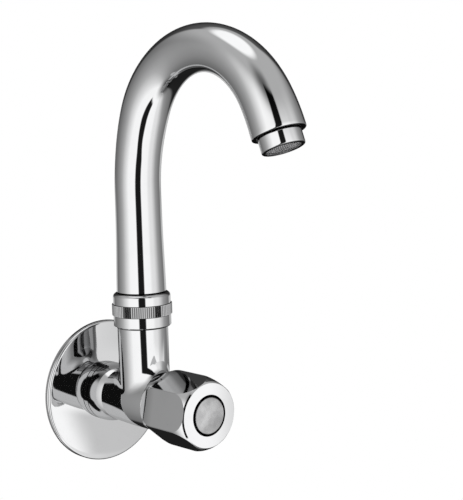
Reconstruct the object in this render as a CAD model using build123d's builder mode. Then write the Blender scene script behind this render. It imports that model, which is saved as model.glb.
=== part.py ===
from build123d import *
import math
import os

# Wall-mounted swivel-spout tap, millimetres.
# +Z is up and the wall is the plane y = 0, with the room on the -Y side.
# The origin is the point where the axis of the horizontal barrel meets the wall.
# Distances "out" are measured from the wall along the barrel, so y = -out.

# ---------------------------------------------------------------- clearances
run_gap = 0.30          # visible running gap between pieces that turn past each other
seat_gap = 0.05         # fit of a piece that is clamped or seated
thread_gap = 0.04       # radial play of a screwed pair
bearing_gap = 0.08      # radial play of a shaft in its bore
seal_gap = 0.01         # radial play left by a seated O-ring

# ---------------------------------------------------------------- G1/2 thread
pipe_thread_r = 10.4775     # G1/2 major radius
pipe_thread_pitch = 1.814
pipe_thread_depth = 1.162
crest_flat = 0.30

# ---------------------------------------------------------------- wall flange
flange_r = 32.0
flange_rim_depth = 3.4      # height of the front edge above the wall
flange_edge = 1.0           # rounding between the rolled rim and the front face
flange_dome = 0.5           # rise of the face from its edge to its middle
flange_sheet = 0.9
flange_rim_wall = 1.5
flange_line = 0.25          # depth of the fine line round the rolled rim
flange_line_gap = 0.2       # plain length between the line and the rounding

# ---------------------------------------------------------------- valve body
inlet_length = 14.0         # male spigot behind the wall plane
inlet_shank = 4.5           # plain length at its root, of the major radius
inlet_chamfer = 1.0
crest_drop = 0.03           # thread crest below the major radius
sleeve_r = 10.9             # plain part that carries the flange
flange_hole_gap = 0.2
collar_r = 13.2
collar_lip = 1.2            # flat ring next to the flange
collar_groove = 0.5
collar_groove_depth = 0.7
collar_length = 10.0
barrel_rear_r = 11.5
barrel_r = 12.1
barrel_swell = 3.0          # thickest place, beyond the axis of the branch
barrel_run = 12.2           # end face next to the knob, beyond the same axis
barrel_edge = 1.0
branch_out = 31.0           # distance of the spout axis from the wall
branch_r = 11.1
branch_top = 33.1           # shoulder below the spout nut
branch_fillet = 7.0
branch_thread_top = 43.0
relief_gap = 1.0            # width of the milled step round the end of the barrel
nose_r = 9.8                # threaded nose that stands inside the knob
nose_length = 1.0
inlet_bore_r = 6.0
seat_out = 17.5             # valve seat
chamber_r = 7.6
headwork_thread_r = 8.331   # G3/8 major radius
headwork_thread_length = 9.0
branch_port_r = 4.8
socket_r = 7.9              # bore that carries the spout tail
socket_floor = 24.0

# ---------------------------------------------------------------- spout nut
nut_ring_r = 12.6
nut_height = 14.9
nut_knurl_r = 13.15
nut_knurl_low = 5.2         # knurled band, measured from the bottom of the nut
nut_knurl_high = 9.9
nut_knurl_pitch = 0.95
nut_knurl_depth = 0.28
nut_shoulder = 1.9
nut_chamfer = 0.5
nut_lip = 2.25
nut_lip_gap = 0.4

# ---------------------------------------------------------------- spout tail
tail_r = 7.8
tail_bore_r = 5.0
tail_end_gap = 1.0          # above the floor of the socket
tail_collar_r = 9.1
tail_collar = 1.7
tail_in_pipe = 11.4
slip_ring = 0.9
tail_ring_wire = 1.8        # O-ring section
tail_ring_low = 5.0         # O-ring middle above the end of the tail
tail_ring_high = 11.0
tail_groove_width = 2.3

# ---------------------------------------------------------------- spout pipe
spout_straight_top = 91.8   # height where the riser begins to bend
ease_in_r = 90.0
ease_in_deg = 23.0
bend_r = 43.1
bend_deg = 124.0
ease_out_r = 70.0
ease_out_deg = 10.6
tip_straight = 3.2
pipe_foot_r = 10.85         # outer radius at the nut
pipe_low_r = 10.2
pipe_mid_r = 10.0
pipe_shoulder_r = 10.35
pipe_top_r = 10.0
pipe_limb_r = 10.45
pipe_tip_r = 11.1           # outer radius at the outlet
pipe_bore_r = 8.5
pipe_edge = 0.5

# ---------------------------------------------------------------- aerator
aerator_thread_r = 9.3      # outer radius of its fine thread
aerator_thread_length = 6.0
aerator_ring_r = 8.85
aerator_ring_length = 6.2   # part that shows below the pipe
aerator_wall = 1.1
aerator_lip = 0.7
aerator_lip_width = 0.6
aerator_edge = 0.6
aerator_washer = 1.5
aerator_washer_bore_r = 5.8
screen_thickness = 0.4
screen_hole = 0.8
screen_pitch = 1.2
screen_rim = 0.8
insert_wall = 0.9
insert_rib = 1.0

# ---------------------------------------------------------------- knob
knob_back_r = 12.8
knob_r = 16.15              # radius of the turned blank, left on the six corners
knob_swell = 9.5            # length of the curve from the back of the knob to that radius
knob_taper = 6.8            # length of the curve from that radius to the face
knob_length = 30.8
knob_face_r = 14.4
knob_edge = 0.6
knob_flat = 14.1            # distance of the six flats from the axis
knob_flat_dip = 1.6         # how far the flats curve in at the back
knob_flat_run = 10.0        # length over which they do
knob_turned = 19.5          # angle of the first corner
knob_cavity_r = 10.3
knob_web = 1.7
knob_recess_r = 8.9
knob_recess_depth = 4.0

# ---------------------------------------------------------------- index button
button_r = 7.9
button_rim = 2.6
button_dome = 0.4
button_stand = 0.5          # height of its rim above the face of the knob
button_edge = 0.5
button_skirt = 0.9
button_wall = 1.2

# ---------------------------------------------------------------- headwork
cartridge_r = 7.2
cartridge_wall = 0.7
cartridge_pocket = 11.1     # depth of the disc pocket
cartridge_lift = 0.4        # end of the cartridge above the seat
hex_flat = 8.5              # half the 17 mm spanner size
hex_height = 3.7
gasket = 0.8
gasket_width = 1.3
neck_r = 5.6
neck_length = 3.0
window_width = 7.0
window_length = 5.0
seal_height = 2.5
seal_bore_r = 4.2
disc_thickness = 2.7
disc_port_r = 4.6
disc_web = 0.6
disc_ear = 3.0
disc_slot_gap = 0.1
drive_width = 3.0
drive_depth = 1.1
spindle_r = 4.0
driver_thickness = 1.9
driver_gap = 0.3
spindle_ring_wire = 1.5
spindle_ring_first = 4.5    # O-ring middles, from the floor of the disc pocket
spindle_ring_second = 9.0
spindle_groove_width = 2.0
slip_washer = 0.5
slip_washer_r = 5.4
circlip = 0.7
circlip_r = 5.2
circlip_groove = 0.6
spline_start_gap = 1.6      # plain length between the circlip and the spline
spline_length = 9.5
spline_teeth = 20
spline_tip_r = 3.95
spline_root_r = 3.5
spline_gap = 0.05
screw_r = 2.0
screw_tap_r = 1.95
screw_length = 9.0
screw_head_r = 3.7
screw_head = 2.3
screw_socket_r = 1.5
screw_socket = 1.4
screw_hole_gap = 0.25

# ---------------------------------------------------------------- derived places
barrel_swell_out = branch_out + barrel_swell
barrel_front = branch_out + barrel_run
flange_front_r = flange_r - flange_edge
flange_line_front = flange_rim_depth - flange_edge - flange_line_gap
flange_face = flange_rim_depth + flange_dome
collar_back = flange_face + seat_gap
collar_front = collar_back + collar_length
nose_front = barrel_front + nose_length
knob_back = barrel_front + run_gap
knob_front = knob_back + knob_length
nut_bottom = branch_top + run_gap
nut_top = nut_bottom + nut_height
nut_lip_bottom = nut_top - nut_lip
tail_collar_top = nut_lip_bottom - seat_gap - slip_ring
tail_collar_bottom = tail_collar_top - tail_collar
tail_bottom = socket_floor + tail_end_gap
pipe_bottom = nut_top + run_gap
tail_top = pipe_bottom + tail_in_pipe
cartridge_end = seat_out + cartridge_lift
pocket_r = cartridge_r - cartridge_wall
pocket_floor = cartridge_end + cartridge_pocket
hex_back = nose_front + gasket
hex_front = hex_back + hex_height
neck_front = hex_front + neck_length
seal_top = seat_out + seal_height
fixed_disc_top = seal_top + disc_thickness
moving_disc_back = fixed_disc_top + seat_gap
moving_disc_top = moving_disc_back + disc_thickness
driver_top = pocket_floor - driver_gap
driver_back = driver_top - driver_thickness
washer_front = neck_front + seat_gap + slip_washer
circlip_back = washer_front + seat_gap
circlip_front = circlip_back + circlip
spline_back = circlip_front + spline_start_gap
spindle_front = spline_back + spline_length
hub_back = spline_back + run_gap
web_back = spindle_front + run_gap
web_front = web_back + knob_web
screw_back = web_front - screw_length
recess_floor = knob_front - knob_recess_depth

branch_axis = Axis((0, -branch_out, 0), (0, 0, 1))
barrel_side = Plane.XY                          # local (radius, -out)
branch_side = Plane.XZ.offset(branch_out)       # local (radius, height)


def out_plane(out):
    """Plane square to the barrel at a distance out from the wall, facing the room."""
    return Plane.XZ.offset(out)


def star(teeth, tip, root):
    """Corner points of a fine-toothed round section."""
    step = math.pi / teeth
    radii = [tip, root] * teeth
    return [(r * math.cos(k * step), r * math.sin(k * step)) for k, r in enumerate(radii)]


# ---------------------------------------------------------------- spout route
# The spout rises, eases into its bend, turns over and eases out towards the outlet.
with BuildLine(Plane.YZ) as spout_route:
    riser = Line((-branch_out, pipe_bottom), (-branch_out, spout_straight_top))
    ease_in = JernArc(riser @ 1, riser % 1, ease_in_r, ease_in_deg)
    bend = JernArc(ease_in @ 1, ease_in % 1, bend_r, bend_deg)
    ease_out = JernArc(bend @ 1, bend % 1, ease_out_r, ease_out_deg)
    tip = Line(ease_out @ 1, ease_out @ 1 + (ease_out % 1) * tip_straight)
route = spout_route.wires()[0]

# The bore follows the same route from the top of the tail onwards.
with BuildLine(Plane.YZ) as bore_route:
    bore_riser = Line((-branch_out, tail_top), (-branch_out, spout_straight_top))
    bore_in = JernArc(bore_riser @ 1, bore_riser % 1, ease_in_r, ease_in_deg)
    bore_bend = JernArc(bore_in @ 1, bore_in % 1, bend_r, bend_deg)
    bore_out = JernArc(bore_bend @ 1, bore_bend % 1, ease_out_r, ease_out_deg)
    Line(bore_out @ 1, bore_out @ 1 + (bore_out % 1) * tip_straight)
bore = bore_route.wires()[0]

outlet = tip @ 1
flow = (tip % 1).normalized()
outlet_axis = Axis(outlet, flow)
outlet_plane = Plane(origin=outlet, x_dir=(1, 0, 0), z_dir=flow)
outlet_side = Plane(origin=outlet, x_dir=(1, 0, 0), z_dir=Vector(1, 0, 0).cross(flow))

# ---------------------------------------------------------------- wall flange
with BuildPart() as wall_flange:
    hole_r = sleeve_r + flange_hole_gap
    with BuildSketch(barrel_side):
        with BuildLine():
            Polyline(
                (hole_r, -flange_face),
                (hole_r, -(flange_face - flange_sheet)),
                (flange_r - flange_rim_wall, -(flange_rim_depth - flange_sheet)),
                (flange_r - flange_rim_wall, 0),
                (flange_r, 0),
                (flange_r, -(flange_line_front - 2 * flange_line)),
                (flange_r - flange_line, -(flange_line_front - flange_line)),
                (flange_r, -flange_line_front),
            )
            rim = Line((flange_r, -flange_line_front), (flange_r, -(flange_rim_depth - flange_edge)))
            edge = TangentArc(rim @ 1, (flange_front_r, -flange_rim_depth), tangent=rim % 1)
            Line(edge @ 1, (hole_r, -flange_face))
        make_face()
    revolve(axis=Axis.Y)

# ---------------------------------------------------------------- valve body
with BuildPart() as valve_body:
    # outer skin of the horizontal barrel, run on past the branch for a full fillet
    barrel_end = 2 * barrel_swell_out - collar_front
    with BuildSketch(barrel_side):
        with BuildLine():
            Polyline(
                (barrel_rear_r, -barrel_end),
                (0, -barrel_end),
                (0, 0),
                (sleeve_r, 0),
                (sleeve_r, -collar_back),
                (collar_r, -collar_back),
                (collar_r, -(collar_back + collar_lip)),
                (collar_r - collar_groove_depth, -(collar_back + collar_lip)),
                (collar_r - collar_groove_depth, -(collar_back + collar_lip + collar_groove)),
                (collar_r, -(collar_back + collar_lip + collar_groove)),
            )
            bead = ThreePointArc(
                (collar_r, -(collar_back + collar_lip + collar_groove)),
                ((2 * collar_r + barrel_rear_r) / 3, -(collar_front - 0.35 * collar_length)),
                (barrel_rear_r, -collar_front),
            )
            ThreePointArc(bead @ 1, (barrel_r, -barrel_swell_out), (barrel_rear_r, -barrel_end))
        make_face()
    revolve(axis=Axis.Y)
    # upright branch that carries the spout
    with BuildSketch(Plane.XY):
        with Locations((0, -branch_out)):
            Circle(branch_r)
    extrude(amount=branch_top)
    joint_edges = valve_body.edges().filter_by(
        lambda e: e.bounding_box().min.Z > 0
        and e.bounding_box().max.Z < branch_top - 1
        and e.bounding_box().min.Y > -(branch_out + branch_r + 1)
        and e.bounding_box().max.Y < -(branch_out - branch_r - 1)
    )
    fillet(joint_edges, branch_fillet)
    # front end: the barrel stops at its face and the fillet of the branch is milled flush with it
    with BuildSketch(barrel_side):
        with BuildLine():
            rounding = ThreePointArc(
                (barrel_r - barrel_edge, -barrel_front),
                (barrel_r - 0.293 * barrel_edge, -(barrel_front - 0.293 * barrel_edge)),
                (barrel_r, -(barrel_front - barrel_edge)),
            )
            Polyline(
                rounding @ 1,
                (knob_back_r + relief_gap, -barrel_front),
                (knob_r + relief_gap, -barrel_front),
                (knob_r + relief_gap, -(barrel_end + 1)),
                (0, -(barrel_end + 1)),
                (0, -barrel_front),
                rounding @ 0,
            )
        make_face()
    revolve(axis=Axis.Y, mode=Mode.SUBTRACT)
    # nose for the headwork and threaded spigot for the spout nut
    with BuildSketch(out_plane(barrel_front)):
        Circle(nose_r)
    extrude(amount=nose_length)
    with BuildSketch(Plane.XY.offset(branch_top)):
        with Locations((0, -branch_out)):
            Circle(pipe_thread_r)
    extrude(amount=branch_thread_top - branch_top)
    # inlet spigot behind the wall: plain shank, then the root of the thread
    with BuildSketch(barrel_side):
        with BuildLine():
            root = pipe_thread_r - pipe_thread_depth
            Polyline(
                (0, 0),
                (0, inlet_length),
                (root - inlet_chamfer / 2, inlet_length),
                (root, inlet_length - inlet_chamfer),
                (root, inlet_shank),
                (pipe_thread_r, inlet_shank),
                (pipe_thread_r, 0),
                close=True,
            )
        make_face()
    revolve(axis=Axis.Y)
    # waterways
    with BuildSketch(barrel_side):
        with BuildLine():
            thread_back = nose_front - headwork_thread_length
            Polyline(
                (0, inlet_length),
                (inlet_bore_r, inlet_length),
                (inlet_bore_r, -seat_out),
                (chamber_r, -seat_out),
                (chamber_r, -thread_back),
                (headwork_thread_r + thread_gap, -thread_back),
                (headwork_thread_r + thread_gap, -nose_front),
                (0, -nose_front),
                close=True,
            )
        make_face()
    revolve(axis=Axis.Y, mode=Mode.SUBTRACT)
    with BuildSketch(branch_side):
        with BuildLine():
            Polyline(
                (0, 0),
                (branch_port_r, 0),
                (branch_port_r, socket_floor),
                (socket_r, socket_floor),
                (socket_r, branch_thread_top),
                (0, branch_thread_top),
                close=True,
            )
        make_face()
    revolve(axis=branch_axis, mode=Mode.SUBTRACT)
    # helical ridge of the inlet thread
    with BuildLine() as thread_line:
        ridge_r = pipe_thread_r - pipe_thread_depth - 0.05
        thread_run = inlet_length - inlet_chamfer - inlet_shank - 0.5 * pipe_thread_pitch
        turn = Helix(pipe_thread_pitch, thread_run, ridge_r, center=(0, inlet_shank, 0),
                     direction=(0, 1, 0))
    start = turn @ 0
    with BuildSketch(Plane(origin=start, x_dir=(start.X, 0, start.Z), z_dir=turn % 0)):
        with BuildLine():
            foot = 0.46 * pipe_thread_pitch
            tall = pipe_thread_depth + 0.05 - crest_drop
            Polyline((0, -foot), (tall, -crest_flat / 2), (tall, crest_flat / 2), (0, foot), close=True)
        make_face()
    sweep(path=thread_line.wires()[0], is_frenet=True)

# ---------------------------------------------------------------- spout nut
with BuildPart() as spout_nut:
    with BuildSketch(branch_side):
        with BuildLine():
            Polyline(
                (nut_ring_r, nut_top - nut_shoulder),
                (nut_ring_r, nut_bottom + nut_chamfer),
                (nut_ring_r - nut_chamfer, nut_bottom),
                (pipe_thread_r + thread_gap, nut_bottom),
                (pipe_thread_r + thread_gap, tail_collar_bottom),
                (tail_collar_r + run_gap, tail_collar_bottom),
                (tail_collar_r + run_gap, nut_lip_bottom),
                (tail_r + nut_lip_gap, nut_lip_bottom),
                (tail_r + nut_lip_gap, nut_top),
                (nut_ring_r - nut_shoulder, nut_top),
            )
            ThreePointArc(
                (nut_ring_r - nut_shoulder, nut_top),
                (nut_ring_r - 0.293 * nut_shoulder, nut_top - 0.293 * nut_shoulder),
                (nut_ring_r, nut_top - nut_shoulder),
            )
        make_face()
    revolve(axis=branch_axis)
    # straight knurl round the middle
    teeth = round(2 * math.pi * nut_knurl_r / nut_knurl_pitch)
    with BuildSketch(Plane(origin=(0, -branch_out, nut_bottom + nut_knurl_low))):
        with BuildLine():
            Polyline(*star(teeth, nut_knurl_r, nut_knurl_r - nut_knurl_depth), close=True)
        make_face()
        Circle((nut_ring_r + pipe_thread_r) / 2, mode=Mode.SUBTRACT)
    extrude(amount=nut_knurl_high - nut_knurl_low)

# ---------------------------------------------------------------- spout tail
tail_wire_r = tail_ring_wire / 2
tail_ring_mid_r = socket_r - seal_gap - tail_wire_r
tail_groove_r = tail_ring_mid_r - tail_wire_r - seal_gap
ring_low_z = tail_bottom + tail_ring_low
ring_high_z = tail_bottom + tail_ring_high
half_groove = tail_groove_width / 2
with BuildPart() as spout_tail:
    with BuildSketch(branch_side):
        with BuildLine():
            Polyline(
                (tail_bore_r, tail_bottom),
                (tail_r - 0.5, tail_bottom),
                (tail_r, tail_bottom + 0.5),
                (tail_r, ring_low_z - half_groove),
                (tail_groove_r, ring_low_z - half_groove),
                (tail_groove_r, ring_low_z + half_groove),
                (tail_r, ring_low_z + half_groove),
                (tail_r, ring_high_z - half_groove),
                (tail_groove_r, ring_high_z - half_groove),
                (tail_groove_r, ring_high_z + half_groove),
                (tail_r, ring_high_z + half_groove),
                (tail_r, tail_collar_bottom),
                (tail_collar_r, tail_collar_bottom),
                (tail_collar_r, tail_collar_top),
                (tail_r, tail_collar_top),
                (tail_r, tail_top),
                (tail_bore_r, tail_top),
                close=True,
            )
        make_face()
    revolve(axis=branch_axis)

with BuildPart() as spout_slip_ring:
    with BuildSketch(Plane.XY.offset(tail_collar_top)):
        with Locations((0, -branch_out)):
            Circle(tail_collar_r)
            Circle(tail_r + seat_gap, mode=Mode.SUBTRACT)
    extrude(amount=slip_ring)

with BuildPart() as spout_o_ring_lower:
    with BuildSketch(branch_side):
        with Locations((tail_ring_mid_r, ring_low_z)):
            Circle(tail_wire_r)
    revolve(axis=branch_axis)

with BuildPart() as spout_o_ring_upper:
    with BuildSketch(branch_side):
        with Locations((tail_ring_mid_r, ring_high_z)):
            Circle(tail_wire_r)
    revolve(axis=branch_axis)

# ---------------------------------------------------------------- spout pipe
aerator_seat = aerator_thread_length + aerator_washer
with BuildPart() as spout_pipe:
    pipe_radii = [pipe_foot_r, pipe_low_r, pipe_mid_r, pipe_shoulder_r,
                  pipe_top_r, pipe_top_r, pipe_limb_r, pipe_tip_r]
    for k, r in enumerate(pipe_radii):
        along = k / (len(pipe_radii) - 1) * route.length
        place = route.position_at(along, position_mode=PositionMode.LENGTH)
        heading = route.tangent_at(along, position_mode=PositionMode.LENGTH)
        with BuildSketch(Plane(origin=place, x_dir=(1, 0, 0), z_dir=heading)):
            Circle(r)
    sweep(path=route, multisection=True)
    # rounded edge at the outlet
    with BuildSketch(outlet_side):
        with BuildLine():
            round_off = ThreePointArc(
                (pipe_tip_r - pipe_edge, 0),
                (pipe_tip_r - 0.293 * pipe_edge, -0.293 * pipe_edge),
                (pipe_tip_r, -pipe_edge),
            )
            Polyline(round_off @ 1, (pipe_tip_r + 1, -pipe_edge), (pipe_tip_r + 1, 1),
                     (pipe_tip_r - pipe_edge, 1), round_off @ 0)
        make_face()
    revolve(axis=outlet_axis, mode=Mode.SUBTRACT)
    # socket for the tail, then the waterway, then the seat of the aerator
    with BuildSketch(Plane.XY.offset(pipe_bottom)):
        with Locations((0, -branch_out)):
            Circle(tail_r + seal_gap)
    extrude(amount=tail_in_pipe, mode=Mode.SUBTRACT)
    with BuildSketch(Plane(origin=bore @ 0, x_dir=(1, 0, 0), z_dir=bore % 0)):
        Circle(pipe_bore_r)
    sweep(path=bore, mode=Mode.SUBTRACT)
    with BuildSketch(outlet_plane):
        Circle(aerator_thread_r + thread_gap)
    extrude(amount=-aerator_seat, mode=Mode.SUBTRACT)

# ---------------------------------------------------------------- aerator
housing_bore_r = aerator_ring_r - aerator_wall
with BuildPart() as aerator_housing:
    with BuildSketch(outlet_side):
        with BuildLine():
            Polyline(
                (aerator_ring_r - aerator_edge, aerator_ring_length),
                (housing_bore_r - aerator_lip_width, aerator_ring_length),
                (housing_bore_r - aerator_lip_width, aerator_ring_length - aerator_lip),
                (housing_bore_r, aerator_ring_length - aerator_lip),
                (housing_bore_r, -aerator_thread_length),
                (aerator_thread_r, -aerator_thread_length),
                (aerator_thread_r, -0.2),
                (aerator_ring_r, 0.1),
                (aerator_ring_r, aerator_ring_length - aerator_edge),
            )
            ThreePointArc(
                (aerator_ring_r, aerator_ring_length - aerator_edge),
                (aerator_ring_r - 0.293 * aerator_edge, aerator_ring_length - 0.293 * aerator_edge),
                (aerator_ring_r - aerator_edge, aerator_ring_length),
            )
        make_face()
    revolve(axis=outlet_axis)

screen_low = aerator_ring_length - aerator_lip
screen_r = housing_bore_r - seat_gap
with BuildPart() as aerator_screen:
    with BuildSketch(outlet_plane.offset(screen_low - screen_thickness)):
        Circle(screen_r)
        count = 2 * math.floor((screen_r - screen_rim - screen_hole) / screen_pitch) + 1
        with GridLocations(screen_pitch, screen_pitch, count, count) as grid:
            spots = [p for p in grid.local_locations
                     if p.position.length < screen_r - screen_rim - screen_hole / 2]
        with Locations(*spots):
            Rectangle(screen_hole, screen_hole, mode=Mode.SUBTRACT)
    extrude(amount=screen_thickness)

insert_top = screen_low - screen_thickness
insert_r = housing_bore_r - seat_gap
with BuildPart() as aerator_insert:
    with BuildSketch(outlet_plane.offset(insert_top)):
        Circle(insert_r)
        Circle(insert_r - insert_wall, mode=Mode.SUBTRACT)
    extrude(amount=-(insert_top + aerator_thread_length - seat_gap))
    # cross ribs of the flow straightener
    with BuildSketch(outlet_plane.offset(insert_top)):
        Rectangle(2 * insert_r - insert_wall, insert_rib)
        Rectangle(insert_rib, 2 * insert_r - insert_wall)
    extrude(amount=-0.5 * (insert_top + aerator_thread_length))

with BuildPart() as aerator_washer_ring:
    with BuildSketch(outlet_plane.offset(-aerator_seat)):
        Circle(aerator_thread_r - seat_gap)
        Circle(aerator_washer_bore_r, mode=Mode.SUBTRACT)
    extrude(amount=aerator_washer)

# ---------------------------------------------------------------- headwork bonnet
ring_one = pocket_floor + spindle_ring_first
ring_two = pocket_floor + spindle_ring_second
spindle_bore_r = spindle_r + bearing_gap
with BuildPart() as headwork_bonnet:
    with BuildSketch(barrel_side):
        with BuildLine():
            Polyline(
                (pocket_r, -cartridge_end),
                (cartridge_r, -cartridge_end),
                (cartridge_r, -(nose_front - headwork_thread_length)),
                (headwork_thread_r, -(nose_front - headwork_thread_length + 1.2)),
                (headwork_thread_r, -hex_back),
                (neck_r, -hex_back),
                (neck_r, -neck_front),
                (spindle_bore_r, -neck_front),
                (spindle_bore_r, -pocket_floor),
                (pocket_r, -pocket_floor),
                close=True,
            )
        make_face()
    revolve(axis=Axis.Y)
    with BuildSketch(out_plane(hex_back)):
        RegularPolygon(hex_flat, 6, major_radius=False)
        Circle(spindle_bore_r, mode=Mode.SUBTRACT)
    extrude(amount=hex_height)
    # side windows that let the water out into the chamber
    window_out = moving_disc_top + 0.5
    with BuildSketch(out_plane(window_out)):
        Rectangle(window_width, 4 * cartridge_r)
        Circle(pocket_r - 0.5, mode=Mode.SUBTRACT)
    extrude(amount=min(window_length, pocket_floor - window_out), mode=Mode.SUBTRACT)
    # slots for the ears of the fixed disc
    with BuildSketch(out_plane(cartridge_end)):
        Rectangle(4 * cartridge_r, disc_ear + 2 * disc_slot_gap)
        Circle(pocket_r - 0.5, mode=Mode.SUBTRACT)
    extrude(amount=fixed_disc_top - cartridge_end, mode=Mode.SUBTRACT)

with BuildPart() as bonnet_gasket:
    with BuildSketch(out_plane(nose_front)):
        Circle(headwork_thread_r + thread_gap + gasket_width)
        Circle(headwork_thread_r + thread_gap, mode=Mode.SUBTRACT)
    extrude(amount=gasket)

with BuildPart() as seat_seal:
    with BuildSketch(out_plane(seat_out)):
        Circle(pocket_r - seat_gap)
        Circle(seal_bore_r, mode=Mode.SUBTRACT)
    extrude(amount=seal_height)

with BuildPart() as ceramic_disc_fixed:
    with BuildSketch(out_plane(seal_top)):
        Circle(pocket_r - seat_gap)
        Rectangle(2 * (cartridge_r - seat_gap), disc_ear)
    extrude(amount=disc_thickness)
    with BuildSketch(out_plane(seal_top)):
        Circle(disc_port_r)
        with Locations((0, -(disc_web + disc_port_r))):
            Rectangle(2 * disc_port_r, 2 * disc_port_r, mode=Mode.INTERSECT)
    extrude(amount=disc_thickness, mode=Mode.SUBTRACT)

with BuildPart() as ceramic_disc_moving:
    with BuildSketch(out_plane(moving_disc_back)):
        Circle(pocket_r - 2 * seat_gap)
    extrude(amount=disc_thickness)
    with BuildSketch(out_plane(moving_disc_back)):
        Circle(disc_port_r)
        with Locations((0, disc_web + disc_port_r + drive_width / 2)):
            Rectangle(2 * disc_port_r, 2 * disc_port_r, mode=Mode.INTERSECT)
    extrude(amount=disc_thickness, mode=Mode.SUBTRACT)
    # slot across the back that the spindle drives
    with BuildSketch(out_plane(moving_disc_top)):
        Rectangle(2 * pocket_r, drive_width + 2 * seat_gap)
    extrude(amount=-drive_depth, mode=Mode.SUBTRACT)

# ---------------------------------------------------------------- spindle
spindle_wire_r = spindle_ring_wire / 2
spindle_ring_mid_r = spindle_bore_r - seal_gap - spindle_wire_r
spindle_groove_r = spindle_ring_mid_r - spindle_wire_r - seal_gap
half_slot = spindle_groove_width / 2
with BuildPart() as spindle:
    with BuildSketch(barrel_side):
        with BuildLine():
            Polyline(
                (0, -driver_back),
                (pocket_r - 2 * seat_gap, -driver_back),
                (pocket_r - 2 * seat_gap, -driver_top),
                (spindle_r, -driver_top),
                (spindle_r, -(ring_one - half_slot)),
                (spindle_groove_r, -(ring_one - half_slot)),
                (spindle_groove_r, -(ring_one + half_slot)),
                (spindle_r, -(ring_one + half_slot)),
                (spindle_r, -(ring_two - half_slot)),
                (spindle_groove_r, -(ring_two - half_slot)),
                (spindle_groove_r, -(ring_two + half_slot)),
                (spindle_r, -(ring_two + half_slot)),
                (spindle_r, -(circlip_back - seat_gap)),
                (spindle_r - circlip_groove, -(circlip_back - seat_gap)),
                (spindle_r - circlip_groove, -(circlip_front + seat_gap)),
                (spindle_r, -(circlip_front + seat_gap)),
                (spindle_r, -spline_back),
                (0, -spline_back),
                close=True,
            )
        make_face()
    revolve(axis=Axis.Y)
    # tongue that fits the slot of the moving disc
    with BuildSketch(out_plane(driver_back)):
        Rectangle(2 * (pocket_r - 4 * seat_gap), drive_width)
        Circle(pocket_r - 2 * seat_gap, mode=Mode.INTERSECT)
    extrude(amount=-(driver_back - moving_disc_top + drive_depth - seat_gap))
    # fine spline for the knob, with the tapped hole of its screw
    with BuildSketch(out_plane(spline_back)):
        with BuildLine():
            Polyline(*star(spline_teeth, spline_tip_r, spline_root_r), close=True)
        make_face()
    extrude(amount=spline_length)
    with BuildSketch(out_plane(spindle_front)):
        Circle(screw_tap_r + thread_gap + screw_r - screw_tap_r)
    extrude(amount=-(spindle_front - screw_back + 1), mode=Mode.SUBTRACT)

with BuildPart() as spindle_o_ring_rear:
    with BuildSketch(barrel_side):
        with Locations((spindle_ring_mid_r, -ring_one)):
            Circle(spindle_wire_r)
    revolve(axis=Axis.Y)

with BuildPart() as spindle_o_ring_front:
    with BuildSketch(barrel_side):
        with Locations((spindle_ring_mid_r, -ring_two)):
            Circle(spindle_wire_r)
    revolve(axis=Axis.Y)

with BuildPart() as spindle_washer:
    with BuildSketch(out_plane(neck_front + seat_gap)):
        Circle(slip_washer_r)
        Circle(spindle_bore_r, mode=Mode.SUBTRACT)
    extrude(amount=slip_washer)

with BuildPart() as spindle_circlip:
    with BuildSketch(out_plane(circlip_back)):
        Circle(circlip_r)
        Circle(spindle_r - circlip_groove + seal_gap, mode=Mode.SUBTRACT)
        with Locations((0, -circlip_r)):
            Rectangle(0.9 * spindle_r, 2 * (circlip_r - spindle_r + circlip_groove) + 1,
                      mode=Mode.SUBTRACT)
    extrude(amount=circlip)

# ---------------------------------------------------------------- knob
with BuildPart() as knob:
    with BuildSketch(barrel_side):
        with BuildLine():
            belly = Line((knob_r, -(knob_back + knob_swell)), (knob_r, -(knob_front - knob_taper)))
            TangentArc(belly @ 0, (knob_back_r, -knob_back), tangent=(0, 1))
            TangentArc(belly @ 1, (knob_face_r, -(knob_front - knob_edge)), tangent=(0, -1))
            Polyline(
                (knob_back_r, -knob_back),
                (0, -knob_back),
                (0, -knob_front),
                (knob_face_r - knob_edge, -knob_front),
                (knob_face_r, -(knob_front - knob_edge)),
            )
        make_face()
    revolve(axis=Axis.Y)
    # six flats that curve in towards the back
    for corner in range(6):
        facing = -(knob_turned + 60 * corner + 30)
        with BuildSketch(barrel_side.rotated((0, facing, 0))):
            with BuildLine():
                flat = Line((knob_flat, -(knob_back + knob_flat_run)), (knob_flat, -(knob_front + 1)))
                dip = TangentArc(flat @ 0, (knob_flat - knob_flat_dip, -knob_back), tangent=(0, 1))
                Polyline(
                    dip @ 1,
                    (knob_flat - knob_flat_dip, -(knob_back - 1)),
                    (knob_r + 1, -(knob_back - 1)),
                    (knob_r + 1, -(knob_front + 1)),
                    flat @ 1,
                )
            make_face()
        extrude(amount=knob_r, both=True, mode=Mode.SUBTRACT)
    # back cavity, button recess and the seat of the screw
    with BuildSketch(out_plane(knob_back)):
        Circle(knob_cavity_r)
    extrude(amount=hub_back - knob_back, mode=Mode.SUBTRACT)
    with BuildSketch(out_plane(knob_front)):
        Circle(knob_recess_r)
    extrude(amount=-knob_recess_depth, mode=Mode.SUBTRACT)
    with BuildSketch(out_plane(recess_floor)):
        Circle(screw_head_r + run_gap)
    extrude(amount=-(recess_floor - web_front), mode=Mode.SUBTRACT)
    with BuildSketch(out_plane(web_front)):
        Circle(screw_r + screw_hole_gap)
    extrude(amount=-knob_web, mode=Mode.SUBTRACT)
    # splined hub
    with BuildSketch(out_plane(web_back)):
        with BuildLine():
            Polyline(*star(spline_teeth, spline_tip_r + spline_gap, spline_root_r + spline_gap),
                     close=True)
        make_face()
    extrude(amount=-(web_back - hub_back), mode=Mode.SUBTRACT)

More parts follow.
